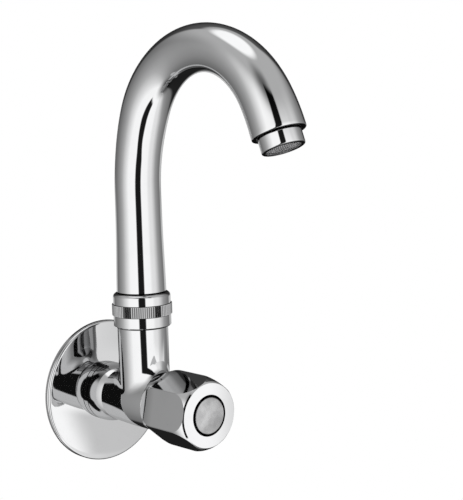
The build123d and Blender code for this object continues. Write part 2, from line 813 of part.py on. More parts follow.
with BuildPart() as knob_screw:
    with BuildSketch(out_plane(screw_back)):
        Circle(screw_r)
    extrude(amount=screw_length)
    with BuildSketch(out_plane(web_front)):
        Circle(screw_head_r)
    extrude(amount=screw_head)
    fillet(knob_screw.edges().group_by(Axis.Y)[0], 0.5)
    with BuildSketch(out_plane(web_front + screw_head)):
        RegularPolygon(screw_socket_r, 6)
    extrude(amount=-screw_socket, mode=Mode.SUBTRACT)

# ---------------------------------------------------------------- index button
button_front = knob_front + button_stand
skirt_r = knob_recess_r - seal_gap
with BuildPart() as index_button:
    with BuildSketch(barrel_side):
        with BuildLine():
            rounded = button_r - button_edge
            face = ThreePointArc(
                (-rounded, -button_front), (0, -(button_front + button_dome)), (rounded, -button_front)
            )
            corner = ThreePointArc(
                face @ 1,
                (button_r - 0.293 * button_edge, -(button_front - 0.293 * button_edge)),
                (button_r, -(button_front - button_edge)),
            )
            skirt_front = button_front - button_rim
            skirt_back = skirt_front - button_skirt
            Polyline(
                corner @ 1,
                (button_r, -skirt_front),
                (skirt_r, -skirt_front),
                (skirt_r, -skirt_back),
                (skirt_r - button_wall, -skirt_back),
                (button_r - button_wall, -(button_front - button_wall)),
                (0, -(button_front - button_wall)),
                face @ 0,
            )
        make_face()
        with Locations((-button_r, -knob_front)):
            Rectangle(2 * button_r, 4 * button_r, mode=Mode.SUBTRACT)
    revolve(axis=Axis.Y)

# ---------------------------------------------------------------- write the pieces
os.makedirs("parts", exist_ok=True)
pieces = {
    "wall_flange": wall_flange,
    "valve_body": valve_body,
    "spout_nut": spout_nut,
    "spout_tail": spout_tail,
    "spout_slip_ring": spout_slip_ring,
    "spout_o_ring_lower": spout_o_ring_lower,
    "spout_o_ring_upper": spout_o_ring_upper,
    "spout_pipe": spout_pipe,
    "aerator_housing": aerator_housing,
    "aerator_screen": aerator_screen,
    "aerator_insert": aerator_insert,
    "aerator_washer": aerator_washer_ring,
    "headwork_bonnet": headwork_bonnet,
    "bonnet_gasket": bonnet_gasket,
    "seat_seal": seat_seal,
    "ceramic_disc_fixed": ceramic_disc_fixed,
    "ceramic_disc_moving": ceramic_disc_moving,
    "spindle": spindle,
    "spindle_o_ring_rear": spindle_o_ring_rear,
    "spindle_o_ring_front": spindle_o_ring_front,
    "spindle_washer": spindle_washer,
    "spindle_circlip": spindle_circlip,
    "knob": knob,
    "knob_screw": knob_screw,
    "index_button": index_button,
}
for label, piece in pieces.items():
    piece.part.label = label
    export_step(piece.part, "parts/" + label + ".step")
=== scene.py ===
import math

import bpy
from bpy.props import FloatProperty, FloatVectorProperty, PointerProperty
from mathutils import Matrix, Vector


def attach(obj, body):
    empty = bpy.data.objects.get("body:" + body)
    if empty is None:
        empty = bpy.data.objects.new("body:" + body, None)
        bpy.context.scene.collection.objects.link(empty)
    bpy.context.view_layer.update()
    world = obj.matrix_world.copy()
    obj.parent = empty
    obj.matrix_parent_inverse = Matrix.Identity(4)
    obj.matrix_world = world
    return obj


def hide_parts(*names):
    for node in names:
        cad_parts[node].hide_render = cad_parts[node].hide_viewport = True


bl_info = {
    "name": "Wall Tap Finishes",
    "version": (1, 0, 0),
    "blender": (4, 5, 0),
    "location": "3D View > Sidebar > Wall Tap",
    "description": "Finishes, light tent and camera for a wall-mounted tap with a swivel spout",
    "category": "Material",
}

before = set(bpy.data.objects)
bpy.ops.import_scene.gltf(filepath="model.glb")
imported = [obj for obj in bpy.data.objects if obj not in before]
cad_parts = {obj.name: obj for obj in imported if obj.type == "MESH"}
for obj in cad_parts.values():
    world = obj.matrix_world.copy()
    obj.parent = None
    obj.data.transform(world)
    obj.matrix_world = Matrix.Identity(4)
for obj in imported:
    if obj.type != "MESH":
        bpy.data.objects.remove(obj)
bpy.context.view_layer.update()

# Sizes of the pieces are written in millimetres, and those of the studio in metres.
MM = 0.001
DEGREES = 180.0 / math.pi

SPOUT_AXIS = 31.0                       # distance of the upright branch from the wall
PIPE_FOOT = 48.6                        # height of the pipe's lower end above the barrel's axis
SPOUT_RUNS = (                          # length and bend radius of each run of the pipe
    (43.2, 0.0),
    (math.radians(23.0) * 90.0, 90.0),
    (math.radians(124.0) * 43.1, 43.1),
    (math.radians(10.6) * 70.0, 70.0),
    (3.2, 0.0))
SPOUT_LENGTH = sum(length for length, bend_r in SPOUT_RUNS)
PIPE_RADII = (10.85, 10.2, 10.0, 10.35, 10.0, 10.0, 10.45, 11.1)    # at even distances
BORE_R = 8.5
TIP_BORE_R = 9.4                        # wider bore that holds the outlet ring
TIP_BORE_DEPTH = 7.5

NUT_KNURL = (38.7, 43.2)                # heights of the knurled band
NUT_JOINTS = (                          # lowest and highest point of each joint, and its soft edge
    (32.95, 33.46, 0.04), (48.2, 48.66, 0.05), (38.3, 38.62, 0.06), (43.3, 43.55, 0.06))
# Near-black of painted shade, for the gaps, recesses and knurl of the chrome and round the cap's
# side.
PAINTED_SHADE = (0.012, 0.012, 0.012, 1.0)
BLACK = (0.0, 0.0, 0.0, 1.0)
WHITE = (1.0, 1.0, 1.0, 1.0)

# Levels of the tent's walls, by share of half a turn away from the camera.
TENT_WALLS = ((0.0, 1.0), (0.26, 0.96), (0.36, 0.68), (0.45, 0.46), (0.55, 0.32), (0.66, 0.22),
              (0.78, 0.15), (1.0, 0.12))


# ------------------------------------------------------------------ shader sums
class Wire:
    """One socket of a node tree. Arithmetic on it adds Math nodes."""

    def __init__(self, tree, socket):
        self.tree = tree
        self.socket = socket

    def __add__(self, other):
        return self.tree.math("ADD", self, other)

    def __sub__(self, other):
        return self.tree.math("SUBTRACT", self, other)

    def __rsub__(self, other):
        return self.tree.math("SUBTRACT", other, self)

    def __mul__(self, other):
        return self.tree.math("MULTIPLY", self, other)

    def __truediv__(self, other):
        return self.tree.math("DIVIDE", self, other)

    def __pow__(self, other):
        return self.tree.math("POWER", self, other)

    def __abs__(self):
        return self.tree.math("ABSOLUTE", self)

    __radd__ = __add__
    __rmul__ = __mul__

    def step(self, low, high):
        """0 below low, 1 above high, with a smooth rise between. A low above high falls instead."""
        return self.tree.node("MapRange", {"interpolation_type": "SMOOTHSTEP"},
                              {0: self, 1: low, 2: high})

    def band(self, low, high, soft):
        """1 between low and high, fading over soft on each side of both."""
        return self.step(low - soft, low + soft) * self.step(high + soft, high - soft)

    def toward(self, other, share):
        """Between this at share 0 and the other at share 1."""
        return self + (other - self) * share


class Tree:
    """The node tree of a material or a world."""

    def __init__(self, owner):
        owner.use_nodes = True
        self.nodes = owner.node_tree.nodes
        self.links = owner.node_tree.links
        self.nodes.clear()

    def feed(self, socket, value):
        """Links a wire to a socket, or sets the socket to a value."""
        if isinstance(value, Wire):
            self.links.new(value.socket, socket)
        else:
            socket.default_value = value

    def node(self, kind, settings=None, inputs=None, output=0):
        """Adds a node, sets it, feeds its sockets with values or wires, and returns one output."""
        made = self.nodes.new("ShaderNode" + kind)
        for name, value in (settings or {}).items():
            if name == "stops":
                elements = made.color_ramp.elements
                while len(elements) < len(value):
                    elements.new(1.0)
                for element, (place, shade) in zip(elements, value):
                    element.position = place
                    element.color = (shade, shade, shade, 1.0)
            else:
                setattr(made, name, value)
        for key, value in (inputs or {}).items():
            self.feed(made.inputs[key], value)
        return Wire(self, made.outputs[output])

    def math(self, operation, *values):
        return self.node("Math", {"operation": operation}, dict(enumerate(values)))

    def place(self, scale=(1.0, 1.0, 1.0), turn=(0.0, 0.0, 0.0)):
        """Object coordinates, turned and scaled."""
        spot = self.node("TexCoord", output="Object")
        return self.node("Mapping", {"vector_type": "TEXTURE"},
                         {"Vector": spot, "Rotation": turn, "Scale": tuple(1.0 / s for s in scale)})

    def split(self, vector):
        """The x, y and z of a vector."""
        parts = self.node("SeparateXYZ", inputs={0: vector})
        return [Wire(self, output) for output in parts.socket.node.outputs]

    def join(self, x=0.0, y=0.0, z=0.0):
        return self.node("CombineXYZ", inputs={0: x, 1: y, 2: z})

    def noise(self, vector, scale, detail=3.0, roughness=0.5):
        return self.node("TexNoise", inputs={"Vector": vector, "Scale": scale, "Detail": detail,
                                             "Roughness": roughness})

    def mix(self, factor, first, second):
        """Colour between two colours."""
        made = self.nodes.new("ShaderNodeMix")
        made.data_type = "RGBA"
        for key, value in ((0, factor), (6, first), (7, second)):
            self.feed(made.inputs[key], value)
        return Wire(self, made.outputs[2])

    def bump(self, height, distance, strength=1.0, normal=None):
        feeds = {"Height": height, "Distance": distance, "Strength": strength}
        if normal is not None:
            feeds["Normal"] = normal
        return self.node("Bump", inputs=feeds)

    def seen_white(self, *kinds):
        """1 for the named kinds of rays, 0 for the others."""
        total = sum(self.node("LightPath", output=kind) for kind in kinds)
        return self.math("MINIMUM", total, 1.0)

    def glow(self, colour, level):
        return self.node("Emission", inputs={"Color": colour, "Strength": level})

    def surface(self, shader):
        end = self.nodes.new("ShaderNodeOutputMaterial")
        self.links.new(shader.socket, end.inputs["Surface"])

    def finish(self, colour, roughness, normal, metallic=0.0):
        """Ends a material in one Principled shader."""
        self.surface(self.node("BsdfPrincipled", inputs={
            "Base Color": colour, "Metallic": metallic, "Roughness": roughness, "Normal": normal}))


def rgb(colour, share=1.0):
    """A colour property as the four numbers of a socket, darkened by a share."""
    return (colour[0] * share, colour[1] * share, colour[2] * share, 1.0)


def finish_of(name):
    """A new material and its emptied tree."""
    made = bpy.data.materials.new(name)
    return made, Tree(made)


def wear(nodes, material):
    """Puts one material on every slot of the named CAD nodes."""
    for name in nodes:
        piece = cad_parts[name]
        if not piece.material_slots:
            raise RuntimeError(name + " has no material slot")
        for slot in piece.material_slots:
            slot.material = material


# ------------------------------------------------------------------ round forms
def ringed(name, stations, sides):
    """Models a hollow round form in millimetres: one circle, extruded from station to station
    and back to the first. A station is the y and z of the middle, the heading from +Z towards
    -Y, and the radius."""
    places = [(Vector((0.0, y, z)) * MM, heading, radius * MM)
              for y, z, heading, radius in stations]
    middle, heading, radius = places[0]
    bpy.ops.object.select_all(action="DESELECT")
    bpy.ops.mesh.primitive_circle_add(vertices=sides, radius=radius, fill_type="NOTHING",
                                      location=middle, rotation=(heading, 0.0, 0.0))
    piece = bpy.context.object
    piece.name = name
    bpy.ops.object.transform_apply(location=True, rotation=True, scale=True)
    bpy.ops.object.mode_set(mode="EDIT")
    bpy.ops.mesh.select_all(action="SELECT")
    for new_middle, new_heading, new_radius in places[1:] + places[:1]:
        bpy.ops.mesh.extrude_region_move(
            TRANSFORM_OT_translate={"value": new_middle - middle})
        if abs(new_heading - heading) > 1e-9:
            bpy.ops.transform.rotate(value=heading - new_heading, orient_axis="X",
                                     center_override=new_middle)
        if abs(new_radius - radius) > 1e-9:
            grow = new_radius / radius
            bpy.ops.transform.resize(value=(grow, grow, grow), center_override=new_middle)
        middle, heading, radius = new_middle, new_heading, new_radius
    bpy.ops.mesh.select_all(action="SELECT")
    bpy.ops.mesh.remove_doubles(threshold=1e-7)
    bpy.ops.mesh.normals_make_consistent(inside=False)
    bpy.ops.object.mode_set(mode="OBJECT")
    bpy.ops.object.shade_smooth_by_angle(angle=math.radians(26.0))
    return piece


def turned_on_barrel(name, profile, sides):
    """A round form about the barrel axis. The profile is radius and distance from the wall."""
    return ringed(name, [(-out, 0.0, math.pi / 2, r) for r, out in profile], sides)


def rounding(middle_r, middle_out, radius, first, last, steps):
    """Points of a rounded edge, angles in degrees from straight outwards towards the room."""
    turns = [math.radians(first + (last - first) * k / steps) for k in range(steps + 1)]
    return [(middle_r + radius * math.cos(a), middle_out + radius * math.sin(a)) for a in turns]


def spout_middle(along):
    """Middle and heading of the spout pipe at a distance along its line from its foot."""
    y, z, heading = -SPOUT_AXIS, PIPE_FOOT, 0.0
    for length, bend_r in SPOUT_RUNS:
        run = min(along, length)
        if bend_r:
            swing = run / bend_r
            y += bend_r * (math.cos(heading + swing) - math.cos(heading))
            z += bend_r * (math.sin(heading + swing) - math.sin(heading))
            heading += swing
        else:
            y -= run * math.sin(heading)
            z += run * math.cos(heading)
        along -= run
        if along <= 0.0:
            break
    return y, z, heading


def spout_radius(along):
    """Outer radius of the pipe: a smooth curve through its even stations."""
    place = min(max(along / SPOUT_LENGTH, 0.0), 1.0) * (len(PIPE_RADII) - 1)
    k = min(int(place), len(PIPE_RADII) - 2)
    t = place - k
    before = PIPE_RADII[max(k - 1, 0)]
    first, second = PIPE_RADII[k], PIPE_RADII[k + 1]
    after = PIPE_RADII[min(k + 2, len(PIPE_RADII) - 1)]
    rise_in, rise_out = (second - before) / 2, (after - first) / 2
    return ((2 * t ** 3 - 3 * t * t + 1) * first + (t ** 3 - 2 * t * t + t) * rise_in
            + (3 * t * t - 2 * t ** 3) * second + (t ** 3 - t * t) * rise_out)


# ------------------------------------------------------------------ finishes
def chrome_painted_shade(t, spot):
    """Painted shade on the chrome, darkened nearly to black: recess round the cap, knurl and joints
    of the nut, lips of the pipe and of the outlet ring."""
    x, y, z = t.split(spot)
    x, up, out = x / MM, z / MM, y / -MM
    barrel_r = (x * x + up * up) ** 0.5
    branch_r = (x * x + (out - SPOUT_AXIS) * (out - SPOUT_AXIS)) ** 0.5
    recess = barrel_r.step(9.15, 8.95) * out.band(70.0, 74.05, 0.1)
    band = up.band(*NUT_KNURL, 0.1)
    roots = branch_r.band(12.65, 12.98, 0.14) * band
    crests = branch_r.band(12.65, 13.5, 0.14) * band
    joints = branch_r.step(13.6, 13.4) * sum(up.band(*joint) for joint in NUT_JOINTS)
    mouth_y, mouth_z, heading = spout_middle(SPOUT_LENGTH)
    ahead, above = out + mouth_y, up - mouth_z
    below = ahead * math.sin(heading) + above * math.cos(heading)
    near = (ahead * ahead + above * above).step(240.0, 220.0)
    lips = (below.band(-0.2, 0.5, 0.12) + below.band(5.95, 7.0, 0.2) * 0.85) * near
    return t.math("MINIMUM", recess + roots * 0.6 + crests * 0.3 + joints + lips, 1.0)


def chrome_plate(look):
    """Polished chrome: faint ripple of the buffed brass below it, wiping marks, a little haze."""
    material, t = finish_of("chrome_plate")
    spot = t.place()
    ripple = t.noise(spot, 55.0, 1.0)
    grain = t.noise(t.place((1.0, 1.0, 14.0)), 900.0, 2.0)
    haze = t.noise(spot, 140.0, 4.0, 0.6).step(0.45, 0.75)
    wiped = t.noise(t.place((1.0, 1.0, 9.0), (0.5, 0.3, 0.0)), 260.0, 3.0, 0.6).step(0.55, 0.8)
    tint = t.mix(haze * 0.5, rgb(look.chrome), rgb(look.chrome, 0.955))
    # painted shade: gaps, recesses and knurl of the chrome darkened nearly to black
    t.finish(t.mix(chrome_painted_shade(t, spot), tint, PAINTED_SHADE),
             look.chrome_roughness + haze * 0.012 + wiped * 0.012,
             t.bump(grain, look.grain, 1.0, t.bump(ripple, look.ripple)), metallic=1.0)
    return material


def satin_cap(look):
    """Satin-plated cap: soft blotches, fine ring marks from turning, shadow round its side."""
    material, t = finish_of("satin_cap")
    spot = t.place()
    x, y, z = t.split(spot)
    radius = (x * x + z * z) ** 0.5
    rings = t.noise(t.join(radius, y * 0.2), 2600.0, 2.0)
    cloud = t.noise(spot, 210.0, 4.0, 0.62)
    tint = t.mix(cloud.step(0.3, 0.7), rgb(look.satin, 0.7), rgb(look.satin))
    # painted shadow round the cap's side, darkened nearly to black where it sits in the knob's
    # recess
    side = (radius / MM).step(7.68, 7.86)
    t.finish(t.mix(side, tint, PAINTED_SHADE), 0.2 + cloud * 0.14,
             t.bump(rings * 0.4 + cloud * 2.0, 0.00002, 0.5), metallic=1.0)
    return material


def turned_brass(look):
    """Machined brass with tool marks and a first dull tarnish, with painted shade in the gap above
    the nut.
    """
    material, t = finish_of("turned_brass")
    spot = t.place()
    x, y, z = t.split(spot)
    marks = t.noise(t.join(y, z), 4200.0, 2.0)
    tarnish = t.noise(spot, 160.0, 5.0, 0.6).step(0.42, 0.72)
    tint = t.mix(tarnish * 0.6, rgb(look.brass), rgb(look.brass, 0.62))
    # painted shade: the gap above the nut darkened nearly to black
    gap = (z / MM).band(47.6, 49.0, 0.1)
    t.finish(t.mix(gap, tint, (0.01, 0.01, 0.01, 1.0)), 0.24 + tarnish * 0.2 + marks * 0.06,
             t.bump(marks, 0.00002, 0.5), metallic=1.0)
    return material


def seal_rubber(look):
    """Black nitrile with a bloom of talc."""
    material, t = finish_of("seal_rubber")
    spot = t.place()
    bloom = t.noise(spot, 420.0, 5.0, 0.65).step(0.5, 0.8)
    skin = t.noise(spot, 2600.0, 3.0)
    t.finish(t.mix(bloom, rgb(look.rubber), rgb(look.rubber, 2.4)), 0.5 + bloom * 0.2,
             t.bump(skin, 0.00002, 0.5))
    return material


def bearing_plastic(look):
    """White acetal with faint turning lines and slight yellowing."""
    material, t = finish_of("bearing_plastic")
    spot = t.place()
    x, y, z = t.split(spot)
    lines = t.noise(t.join(z, y), 3600.0, 1.0)
    aged = t.noise(spot, 190.0, 4.0)
    t.finish(t.mix(aged * 0.5, rgb(look.plastic), (0.74, 0.71, 0.62, 1.0)), 0.4 + aged * 0.12,
             t.bump(lines, 0.00001, 0.5))
    return material


def valve_ceramic(look):
    """Lapped alumina: even ivory with very fine specks."""
    material, t = finish_of("valve_ceramic")
    spot = t.place()
    specks = t.noise(spot, 3800.0, 2.0).step(0.62, 0.72)
    cloud = t.noise(spot, 250.0, 3.0)
    t.finish(t.mix(specks * 0.35, rgb(look.ceramic), rgb(look.ceramic, 0.55)),
             0.1 + cloud * 0.08, t.bump(cloud, 0.00001, 0.3))
    return material


def stainless(look):
    """Drawn and stamped stainless steel, slightly scaled by hard water."""
    material, t = finish_of("stainless")
    drawn = t.noise(t.place((1.0, 1.0, 12.0)), 1600.0, 3.0)
    scale = t.noise(t.place(), 480.0, 4.0, 0.65).step(0.5, 0.8)
    t.finish(t.mix(scale * 0.5, rgb(look.steel), (0.5, 0.49, 0.46, 1.0)),
             0.22 + drawn * 0.1 + scale * 0.25, t.bump(drawn, 0.00001, 0.5), metallic=1.0)
    return material


# ------------------------------------------------------------------ studio
def tent_cloth(look):
    """Inside of the light tent, by direction from its middle: clear where the white background
    shows through, grey and black where cloth, gaps and flags stand. Angles are degrees."""
    material, t = finish_of("tent_cloth")
    turned = t.place(turn=(0.0, 0.0, look.camera_azimuth))
    x, y, z = t.split(t.node("VectorMath", {"operation": "NORMALIZE"}, {0: turned}))
    swing = t.math("ARCTAN2", x, 0.0 - y) * DEGREES       # 0 at the camera, to the right positive
    height = t.math("ARCSINE", z) * DEGREES
    away = abs(swing)
    # side walls: white beside the camera, falling off towards the back, a little brighter right
    walls = t.node("ValToRGB", {"stops": TENT_WALLS}, {0: away / 180.0})
    walls = walls * (1.0 + 0.35 * swing.band(66.0, 92.0, 12.0)
                     - 0.12 * swing.band(-140.0, -80.0, 14.0))
    level = walls.toward(0.42, height.step(22.0, 52.0))
    level = level * (1.0 - 0.8 * height.step(-66.0, -86.0))
    # dark room behind the object, above and below a pale strip
    behind = away.step(134.0, 146.0)
    low_dark = behind * height.step(-15.0, -22.0)
    high_dark = behind * height.band(5.0, 53.0, 4.0)
    strip = behind * height.band(-12.5, -3.5, 2.5)
    level = level * (1.0 - 0.9 * low_dark) * (1.0 - 0.8 * high_dark)
    level = level.toward(0.55, strip)
    # gap in the cloth for the camera, which leans to the left below
    leaning = swing + 8.0 * height.step(-20.0, -32.0) - 3.0
    grey_gap = swing.band(-30.0, 12.0, 17.0) * height.band(40.0, 64.0, 11.0)
    black_gap = leaning.band(-14.0, 14.0, 2.5) * height.band(-59.0, 51.0, 3.0)
    level = level.toward(0.12, grey_gap)
    level = level * (1.0 - 0.99 * black_gap)
    # lamp nearly overhead, a little behind the tap and to its left
    lamp_height, lamp_swing = math.radians(80.0), math.radians(-133.0)
    lamp = (math.cos(lamp_height) * math.sin(lamp_swing),
            -math.cos(lamp_height) * math.cos(lamp_swing), math.sin(lamp_height))
    facing = x * lamp[0] + y * lamp[1] + z * lamp[2]
    level = level.toward(1.0, facing.step(math.cos(math.radians(24.0)),
                                          math.cos(math.radians(15.0))))
    # chrome seen in chrome is darker, since each mirroring takes its share of the light
    further = t.math("MAXIMUM", t.node("LightPath", output="Glossy Depth") - 1.0, 0.0)
    level = level * t.math("POWER", look.mirror_loss, further)
    t.surface(t.node("MixShader", inputs={
        0: level, 1: t.glow(BLACK, 0.0), 2: t.node("BsdfTransparent")}))
    return material


def bounce_card(look):
    """White card low at the front right, mirrored in the face of the knob and in the flange."""
    bpy.ops.object.select_all(action="DESELECT")
    bpy.ops.mesh.primitive_plane_add(size=1.0, location=look.card_place,
                                     rotation=tuple(look.card_turn))
    card = bpy.context.object
    card.name = "bounce_card"
    card.scale = look.card_size[0], look.card_size[1], 1.0
    material, t = finish_of("card_cloth")
    across, down, off = t.split(t.place())                # -0.5 to 0.5 over the card
    under = t.node("NewGeometry", output="Backfacing")    # the bend of the spout sees its top
    shown = under * abs(across).step(0.5, 0.4) * abs(down).step(0.5, 0.4)
    # its upper part is mirrored in the knob, its lower part in the flange
    for_knob = 0.7 + 0.28 * across.step(-0.01, 0.07)
    for_flange = 0.56 + 0.42 * across.step(0.04, 0.24)
    level = for_knob.toward(for_flange, down.step(-0.14, -0.05)) * look.card_level
    cloth = t.node("MixShader", inputs={0: level, 1: t.glow(BLACK, 0.0), 2: t.glow(WHITE, 1.0)})
    t.surface(t.node("MixShader", inputs={0: shown, 1: t.node("BsdfTransparent"), 2: cloth}))
    card.data.materials.append(material)
    only_seen_by(card, "glossy")


def only_seen_by(thing, *rays):
    """Leaves an object visible to the named kinds of rays and to no others."""
    for ray in ("camera", "diffuse", "glossy", "transmission", "volume_scatter", "shadow"):
        setattr(thing, "visible_" + ray, ray in rays)


def white_backdrop(look):
    """White for what the eye or a reflection sees, a plain grey level as light on the object."""
    world = bpy.data.worlds.new("white_backdrop")
    bpy.context.scene.world = world
    t = Tree(world)
    seen = t.seen_white("Is Camera Ray", "Is Glossy Ray", "Is Transmission Ray")
    made = t.node("Background", inputs={
        "Color": WHITE, "Strength": look.room_light + seen * (1.0 - look.room_light)})
    end = t.nodes.new("ShaderNodeOutputWorld")
    t.links.new(made.socket, end.inputs["Surface"])


def pale_floor():
    """Matt off-white paint, white to the eye and to reflections."""
    material, t = finish_of("pale_floor")
    grain = t.noise(t.place(), 3.0, 3.0)
    paint = t.node("BsdfDiffuse", inputs={
        "Color": t.mix(grain, (0.86, 0.86, 0.86, 1.0), (0.9, 0.9, 0.9, 1.0))})
    seen = t.seen_white("Is Camera Ray", "Is Glossy Ray", "Is Transmission Ray")
    t.surface(t.node("MixShader", inputs={0: seen, 1: paint, 2: t.glow(WHITE, 1.0)}))
    return material


def soft_lamp(name, place, power):
    """A large square lamp aimed at the middle of the tap."""
    bpy.ops.object.light_add(type="AREA", location=place)
    lamp = bpy.context.object
    lamp.name = name
    lamp.data.shape = "RECTANGLE"
    lamp.data.size = lamp.data.size_y = 0.7
    lamp.data.energy = power
    toward_tap = Vector((0.0, -0.05, 0.05)) - Vector(place)
    lamp.rotation_euler = toward_tap.to_track_quat("-Z", "Y").to_euler()
    lamp.visible_glossy = False
    lamp.visible_camera = False


def aim_camera(look):
    """Stands the camera where the photograph was taken from."""
    a, e, r = look.camera_azimuth, look.camera_elevation, look.camera_roll
    back = Vector((math.sin(a) * math.cos(e), -math.cos(a) * math.cos(e), math.sin(e)))
    level = Vector((math.cos(a), math.sin(a), 0.0))
    upward = back.cross(level)
    right = math.cos(r) * level + math.sin(r) * upward
    top = math.cos(r) * upward - math.sin(r) * level
    target = level * look.aim_side + Vector((0.0, -0.030, look.aim_height))
    bpy.ops.object.camera_add()
    camera = bpy.context.object
    camera.name = "camera"
    turn = Matrix((right, top, back)).transposed().to_4x4()
    camera.matrix_world = Matrix.Translation(target + back * look.camera_distance) @ turn
    camera.data.sensor_width = 36.0
    camera.data.lens = look.camera_lens
    camera.data.clip_start = 0.01
    camera.data.clip_end = 50.0
    bpy.context.scene.camera = camera


# ------------------------------------------------------------------ add-on
class WallTapLook(bpy.types.PropertyGroup):
    """Colours, finish and studio sizes of the wall tap."""

    chrome: FloatVectorProperty(
        name="Chrome", description="Colour of the chrome plate", subtype="COLOR",
        default=(0.94, 0.943, 0.95), min=0.0, max=1.0)
    chrome_roughness: FloatProperty(
        name="Chrome roughness", description="Roughness of clean chrome", default=0.035,
        min=0.0, max=0.4, subtype="FACTOR")
    ripple: FloatProperty(
        name="Ripple", description="Height of the ripple left by buffing", default=0.000012,
        min=0.0, max=0.001, subtype="DISTANCE", unit="LENGTH")
    grain: FloatProperty(
        name="Grain", description="Height of the fine lines left by polishing",
        default=0.00000012, min=0.0, max=0.0001, subtype="DISTANCE", unit="LENGTH")
    satin: FloatVectorProperty(
        name="Satin cap", description="Colour of the satin cap", subtype="COLOR",
        default=(0.74, 0.74, 0.745), min=0.0, max=1.0)
    brass: FloatVectorProperty(
        name="Brass", description="Colour of fresh machined brass", subtype="COLOR",
        default=(0.78, 0.58, 0.27), min=0.0, max=1.0)
    rubber: FloatVectorProperty(
        name="Rubber", description="Colour of the seals", subtype="COLOR",
        default=(0.018, 0.018, 0.019), min=0.0, max=1.0)
    plastic: FloatVectorProperty(
        name="Plastic", description="Colour of the bearing plastic", subtype="COLOR",
        default=(0.82, 0.81, 0.78), min=0.0, max=1.0)
    ceramic: FloatVectorProperty(
        name="Ceramic", description="Colour of the valve discs", subtype="COLOR",
        default=(0.84, 0.81, 0.74), min=0.0, max=1.0)
    steel: FloatVectorProperty(
        name="Steel", description="Colour of the stainless pieces", subtype="COLOR",
        default=(0.62, 0.62, 0.63), min=0.0, max=1.0)
    room_light: FloatProperty(
        name="Room light", description="Level of the plain light from all round", default=0.55,
        min=0.0, max=2.0)
    tent_radius: FloatProperty(
        name="Tent radius", description="Distance of the tent cloth from the tap", default=1.2,
        min=0.3, max=5.0, subtype="DISTANCE", unit="LENGTH")
    mirror_loss: FloatProperty(
        name="Mirror share", description="Light of the tent left after each further mirroring",
        default=0.5, min=0.0, max=1.0, subtype="FACTOR")
    card_place: FloatVectorProperty(
        name="Card place", description="Middle of the white bounce card", subtype="TRANSLATION",
        default=(0.2, -0.288, -0.109), unit="LENGTH")
    card_turn: FloatVectorProperty(
        name="Card turn", description="Rotation of the bounce card", subtype="EULER",
        default=(math.radians(-33.0), 0.0, math.radians(-140.2)), unit="ROTATION")
    card_size: FloatVectorProperty(
        name="Card size", description="Width and height of the bounce card", size=2,
        default=(0.24, 0.39), min=0.0, max=2.0, unit="LENGTH")
    card_level: FloatProperty(
        name="Card level", description="How bright the bounce card is", default=1.0,
        min=0.0, max=1.0, subtype="FACTOR")
    floor_drop: FloatProperty(
        name="Floor drop", description="Depth of the floor below the inlet", default=1.3,
        min=0.1, max=5.0, subtype="DISTANCE", unit="LENGTH")
    camera_azimuth: FloatProperty(
        name="Camera azimuth", description="Angle round the tap, 0 in front of the knob",
        default=math.radians(-41.25), subtype="ANGLE", unit="ROTATION")
    camera_elevation: FloatProperty(
        name="Camera elevation", description="Angle above the horizon",
        default=math.radians(7.65), subtype="ANGLE", unit="ROTATION")
    camera_roll: FloatProperty(
        name="Camera roll", description="Tilt of the camera",
        default=math.radians(-1.6), subtype="ANGLE", unit="ROTATION")
    camera_distance: FloatProperty(
        name="Camera distance", description="Distance from the aimed point", default=0.65,
        subtype="DISTANCE", unit="LENGTH")
    camera_lens: FloatProperty(
        name="Camera lens", description="Focal length in millimetres", default=107.35)
    aim_side: FloatProperty(
        name="Aim side", description="Sideways place of the aimed point", default=0.04045,
        subtype="DISTANCE", unit="LENGTH")
    aim_height: FloatProperty(
        name="Aim height", description="Height of the aimed point", default=0.0654,
        subtype="DISTANCE", unit="LENGTH")


class WALLTAP_OT_plated(bpy.types.Operator):
    """Give the body, the nut and the knob their chrome"""
    bl_idname = "walltap.plated"
    bl_label = "Chrome Pieces"

    def execute(self, context):
        wear(("valve_body", "spout_nut", "knob"), chrome_plate(context.scene.wall_tap))
        return {"FINISHED"}


def stands_for(piece, body, node, material):
    """Gives a new piece its material and the body it rides on, and hides the CAD node it stands
    for.
    """
    piece.data.materials.append(material)
    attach(piece, body)
    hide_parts(node)


def plated(piece, body, node):
    """A new piece in the chrome that WALLTAP_OT_plated has made."""
    stands_for(piece, body, node, bpy.data.materials["chrome_plate"])


class WALLTAP_OT_flange(bpy.types.Operator):
    """Spin the wall flange with its rolled rim and fine line"""
    bl_idname = "walltap.flange"
    bl_label = "Wall Flange"

    def execute(self, context):
        rim_r, edge_r, collar_r = 32.0, 1.0, 11.4
        face_r = rim_r - edge_r
        rim = [(30.5, 0.0), (31.8, 0.0), (rim_r, 0.15)]
        line = [(rim_r, 1.68), (31.78, 1.88), (31.75, 1.95), (31.78, 2.02), (rim_r, 2.2)]
        dome = [(collar_r + (face_r - collar_r) * k / 14, 3.4 + 0.5 * (1.0 - (k / 14) ** 2))
                for k in range(13, 0, -1)]
        inside = [(11.3, 3.88), (11.1, 3.7), (11.1, 3.0), (30.3, 2.5), (30.5, 2.3)]
        profile = rim + line + rounding(face_r, 2.4, edge_r, 0.0, 87.0, 20) + dome + inside
        plated(turned_on_barrel("flange_plate", profile, 384), "body", "wall_flange")
        return {"FINISHED"}


